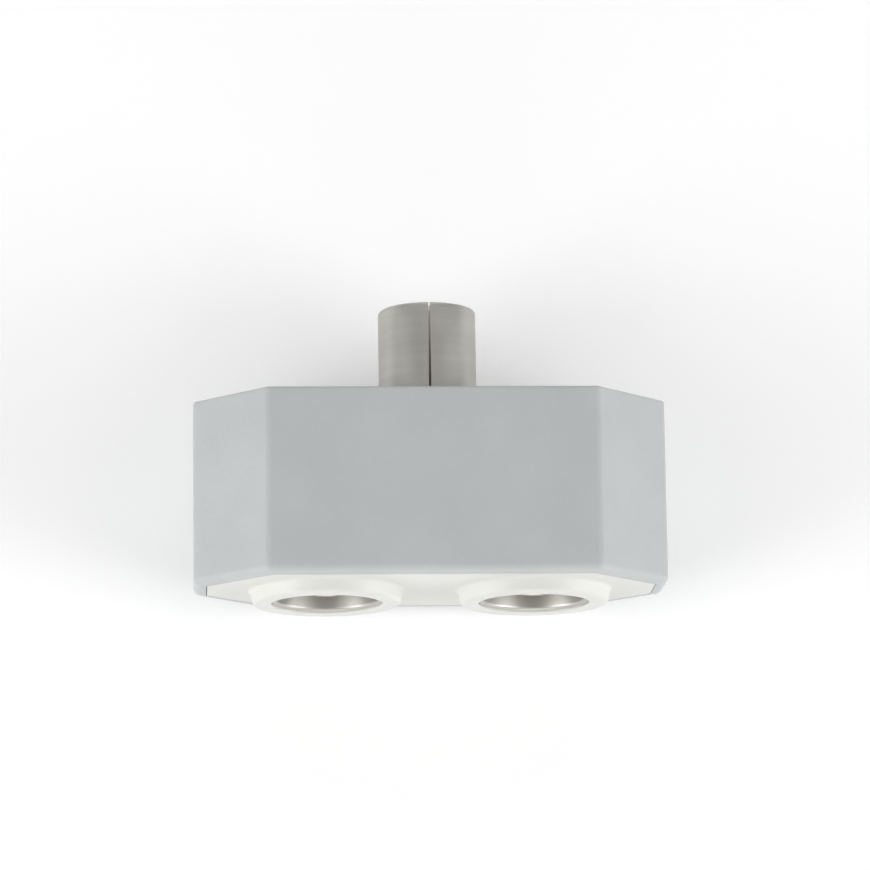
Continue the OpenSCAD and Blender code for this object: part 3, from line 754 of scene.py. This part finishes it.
def spread(tree, value, low, high, new_low=0.0, new_high=1.0):
    """Maps low..high to new_low..new_high, and clamps what lies outside."""
    return add(tree, "MapRange", {0: value, 1: low, 2: high, 3: new_low, 4: new_high}).outputs[0]


def mix_colors(tree, factor, a, b):
    return add(tree, "Mix", {0: factor, 6: a, 7: b}, data_type="RGBA").outputs[2]


def millimetres(tree, stretch=(1, 1, 1)):
    """The object's own coordinates in millimetres, stretched along the axes."""
    place = add(tree, "TexCoord").outputs["Object"]
    scale = tuple(1000 * factor for factor in stretch)
    return add(tree, "VectorMath", {0: place, 1: scale}, operation="MULTIPLY").outputs[0]


def noise(tree, vector, scale, detail=2.0, roughness=0.5, distortion=0.0):
    return add(tree, "TexNoise", {"Vector": vector, "Scale": scale, "Detail": detail,
                                  "Roughness": roughness, "Distortion": distortion}).outputs[0]


def new_group(name, inputs, outputs):
    """A node group with named number inputs, given their defaults, and named number outputs."""
    group = bpy.data.node_groups.new(name, "ShaderNodeTree")
    for label, value in inputs.items():
        socket = group.interface.new_socket(label, in_out="INPUT",
                                            socket_type="NodeSocketFloat")
        socket.default_value = value
    for label in outputs:
        group.interface.new_socket(label, in_out="OUTPUT", socket_type="NodeSocketFloat")
    given = group.nodes.new("NodeGroupInput").outputs
    return group, given, group.nodes.new("NodeGroupOutput").inputs


def use_group(tree, group, **values):
    node = tree.nodes.new("ShaderNodeGroup")
    node.node_tree = group
    for label, value in values.items():
        node.inputs[label].default_value = value
    return node.outputs


# %% Spark-eroded grain of a mould
mould_grain, given, out = new_group("mould_grain", {"Cell": 0.16}, ["Height", "Tone"])
mm = millimetres(mould_grain)
per_mm = math_node(mould_grain, "DIVIDE", 1.0, given["Cell"])
specks = noise(mould_grain, mm, per_mm, detail=3, roughness=0.6)
coarser = math_node(mould_grain, "MULTIPLY", per_mm, 0.45)
pits = add(mould_grain, "TexVoronoi", {"Vector": mm, "Scale": coarser}, feature="SMOOTH_F1")
height = math_node(mould_grain, "MULTIPLY_ADD", pits.outputs["Distance"], 0.5, specks)
mould_grain.links.new(height, out["Height"])
clouds = noise(mould_grain, mm, 0.11, detail=5, roughness=0.55)
fine = math_node(mould_grain, "MULTIPLY_ADD", specks, 0.35, clouds)
mould_grain.links.new(spread(mould_grain, fine, 0.45, 0.90), out["Tone"])

# %% Rings left by a lathe
lathe_rings, given, out = new_group("lathe_rings", {"Pitch": 0.07}, ["Height", "Tone"])
mm = millimetres(lathe_rings, (0.05, 1, 0.05))
per_mm = math_node(lathe_rings, "DIVIDE", 1.0, given["Pitch"])
rings = noise(lathe_rings, mm, per_mm, detail=3, roughness=0.65)
lathe_rings.links.new(rings, out["Height"])
bands = noise(lathe_rings, mm, math_node(lathe_rings, "MULTIPLY", per_mm, 0.12), detail=2)
lathe_rings.links.new(spread(lathe_rings, bands, 0.3, 0.7), out["Tone"])

# %% Lines left by rolling and drawing
rolled_lines, given, out = new_group("rolled_lines", {"Width": 0.08}, ["Height", "Tone"])
mm = millimetres(rolled_lines, (0.03, 1, 1))
per_mm = math_node(rolled_lines, "DIVIDE", 1.0, given["Width"])
lines = noise(rolled_lines, mm, per_mm, detail=4, roughness=0.6)
rolled_lines.links.new(lines, out["Height"])
sheen = noise(rolled_lines, millimetres(rolled_lines), 0.35, detail=4, distortion=0.6)
rolled_lines.links.new(spread(rolled_lines, sheen, 0.3, 0.7), out["Tone"])

# %% Smudges of handling
handling, given, out = new_group("handling", {"Size": 6.0}, ["Mask"])
mm = millimetres(handling)
per_mm = math_node(handling, "DIVIDE", 1.0, given["Size"])
smudges = noise(handling, mm, per_mm, detail=6, roughness=0.6, distortion=0.4)
handling.links.new(spread(handling, smudges, 0.32, 0.68), out["Mask"])

# %% [markdown]
# Edges wear first, and a rounded edge catches the light, so edges get a paler colour that is
# partly wear and partly a painted highlight. A Bevel node gives the normal that a rounder edge
# would have.
# Where it turns away from the real normal an edge is near, and a patchy noise breaks the mark up.

# %% Worn edges with a painted highlight
# This mask makes edges paler: partly wear, partly a painted highlight for the light that a rounded
# edge catches.
worn_and_highlit_edges, given, out = new_group("worn_and_highlit_edges", {"Reach": 0.2}, ["Mask"])
reach = math_node(worn_and_highlit_edges, "MULTIPLY", given["Reach"], 0.001)
rounder = add(worn_and_highlit_edges, "Bevel", {"Radius": reach}, samples=4).outputs[0]
normal = add(worn_and_highlit_edges, "NewGeometry").outputs["Normal"]
agree = add(worn_and_highlit_edges, "VectorMath", {0: rounder, 1: normal}, operation="DOT_PRODUCT")
edge = spread(worn_and_highlit_edges, agree.outputs["Value"], 0.995, 0.90)
patchy = noise(worn_and_highlit_edges, millimetres(worn_and_highlit_edges), 0.9, detail=5, roughness=0.65)
mask = math_node(worn_and_highlit_edges, "MULTIPLY", edge, spread(worn_and_highlit_edges, patchy, 0.35, 0.65, 0.35, 1.0))
worn_and_highlit_edges.links.new(mask, out["Mask"])
print(len(bpy.data.node_groups), "node groups")


# %% [markdown]
# ## Finishes
#
# Every finish is put together in the same order: a pattern moves its colour a little lighter and
# darker, edges mix in a paler colour that is partly wear and partly a painted highlight, smudges
# move its roughness, and the pattern's height makes a very shallow bump. `finish` does that with
# the numbers of one material. What is the same all over a surface, such as being metal, is set on
# the shader itself. The plain colours come from the frame's own record, so the two can't disagree.

# %% One finish
plain_colors = {entry["slot"]: entry["base_color"] for entry in frame["record"]["materials"]}
finishes = {}


def finish(slot, metallic, roughness, pattern, size, bump, tone=0.05, wear_and_highlight=0.3,
           swing=0.06, coat=0.0, smudge=6.0):
    """A finish from a pattern group and its size in mm, with its bump in micrometres."""
    material, tree, shader = new_material(slot, metallic=metallic, coat_weight=coat,
                                          coat_roughness=0.12)
    marks = use_group(tree, pattern, **size)
    color = plain_colors[slot]
    darker = (*(value * (1 - tone) for value in color), 1)
    lighter = (*(min(value * (1 + tone), 1) for value in color), 1)
    # The paler edge colour is partly wear and partly a painted highlight; its amount is the edge
    # weight of each finish.
    paler = (*(value + (1 - value) * 0.3 for value in color), 1)
    shade = mix_colors(tree, marks["Tone"], darker, lighter)
    edges = math_node(tree, "MULTIPLY", use_group(tree, worn_and_highlit_edges)["Mask"], wear_and_highlight)
    tree.links.new(mix_colors(tree, edges, shade, paler), shader.inputs["Base Color"])
    touched = use_group(tree, handling, Size=smudge)["Mask"]
    tree.links.new(spread(tree, touched, 0, 1, roughness - swing, roughness + swing),
                   shader.inputs["Roughness"])
    relief = add(tree, "Bump", {"Strength": 1.0, "Distance": bump * 1e-6,
                                "Height": marks["Height"]})
    tree.links.new(relief.outputs[0], shader.inputs["Normal"])
    finishes[slot] = material
    return tree, shader, shade


# %% [markdown]
# The two moulded plastics are matt and look alike but for their colour. The grey one has the
# coarser grain. The bush and the discs are an unfilled white plastic, smoother and a bit warmer.

# %% Plastics
finish("housing_plastic", 0, 0.52, mould_grain, {"Cell": 0.22}, bump=22,
       tone=0.045, wear_and_highlight=0.3)
finish("cover_plastic", 0, 0.46, mould_grain, {"Cell": 0.18}, bump=11,
       tone=0.025, wear_and_highlight=0.2)
finish("insulator_plastic", 0, 0.42, mould_grain, {"Cell": 0.2}, bump=3,
       tone=0.03, wear_and_highlight=0.1)

# %% [markdown]
# The plug and the sockets are turned or drawn, then plated with nickel. Plating follows the rings
# of the tool, so they show as fine lines in the reflections. Nickel is warmer and darker than
# chromium, and here it is satin rather than bright.

# %% Plated metal
finish("nickel_plating", 1, 0.46, lathe_rings, {"Pitch": 0.09}, bump=1.6,
       tone=0.05, wear_and_highlight=0.4, swing=0.07, smudge=4.0)
finish("contact_metal", 1, 0.32, lathe_rings, {"Pitch": 0.06}, bump=1.0,
       tone=0.05, wear_and_highlight=0.4, swing=0.05, smudge=2.0)

# %% [markdown]
# Inside there is tinned sheet steel, a board of brown paper laminate, two black ferrite cores
# with enamelled wire, a lacquered resistor with its rings, a dipped capacitor, tinned leads and
# solder. They are seen only in a cut or an opened view, but they are finished like the rest.

# %% Inner pieces
finish("sheet_steel", 1, 0.36, rolled_lines, {"Width": 0.1}, bump=2,
       tone=0.08, wear_and_highlight=0.5, swing=0.08)
finish("board_laminate", 0, 0.48, rolled_lines, {"Width": 0.25}, bump=4,
       tone=0.14, wear_and_highlight=0.4)
finish("ferrite", 0, 0.6, mould_grain, {"Cell": 0.1}, bump=12,
       tone=0.2, wear_and_highlight=0.35, swing=0.1, smudge=1.5)
finish("enamelled_wire", 1, 0.3, rolled_lines, {"Width": 0.2}, bump=1,
       tone=0.12, wear_and_highlight=0.1, coat=0.6, smudge=1.0)
finish("capacitor_coating", 0, 0.35, mould_grain, {"Cell": 0.5}, bump=10,
       tone=0.1, wear_and_highlight=0.2, coat=0.4, smudge=1.5)
finish("tinned_wire", 1, 0.34, rolled_lines, {"Width": 0.12}, bump=1.5,
       tone=0.06, wear_and_highlight=0.2, smudge=1.5)
finish("solder", 1, 0.24, mould_grain, {"Cell": 0.4}, bump=6,
       tone=0.05, wear_and_highlight=0.1, swing=0.1, smudge=0.8)

# %% [markdown]
# The resistor's rings are painted round its axis, so they depend on X alone. A ramp with hard
# steps turns the distance along the body into a mask for each ring's colour.

# %% Resistor
brown, black, gold = (0.16, 0.05, 0.02, 1), (0.02, 0.02, 0.02, 1), (0.45, 0.30, 0.08, 1)
ring_outer, ring_inner = 0.26, 0.22

tree, shader, lacquer = finish("resistor_lacquer", 0, 0.3, mould_grain,
                               {"Cell": 0.35}, bump=5, tone=0.06, wear_and_highlight=0.1, coat=0.5,
                               smudge=1.5)
along = add(tree, "SeparateXYZ", {0: millimetres(tree)}).outputs[0]
for middle, ring_color in ((-2.3, brown), (-1.1, black), (-0.1, brown), (2.3, gold)):
    away = math_node(tree, "ABSOLUTE", math_node(tree, "SUBTRACT", along, middle))
    lacquer = mix_colors(tree, spread(tree, away, ring_outer, ring_inner), lacquer, ring_color)
tree.links.new(lacquer, shader.inputs["Base Color"])

# %% Put the finishes on
for part in frame["record"]["subparts"]:
    materials = nodes[part["node"]].data.materials
    if not materials:
        materials.append(None)
    for i in range(len(materials)):
        materials[i] = finishes[part["material_slot"]]
for name, slot in made.items():
    bpy.data.objects[name].data.materials.append(finishes[slot])
print(len(finishes), "finishes on", len(nodes), "nodes and", len(made), "new pieces")
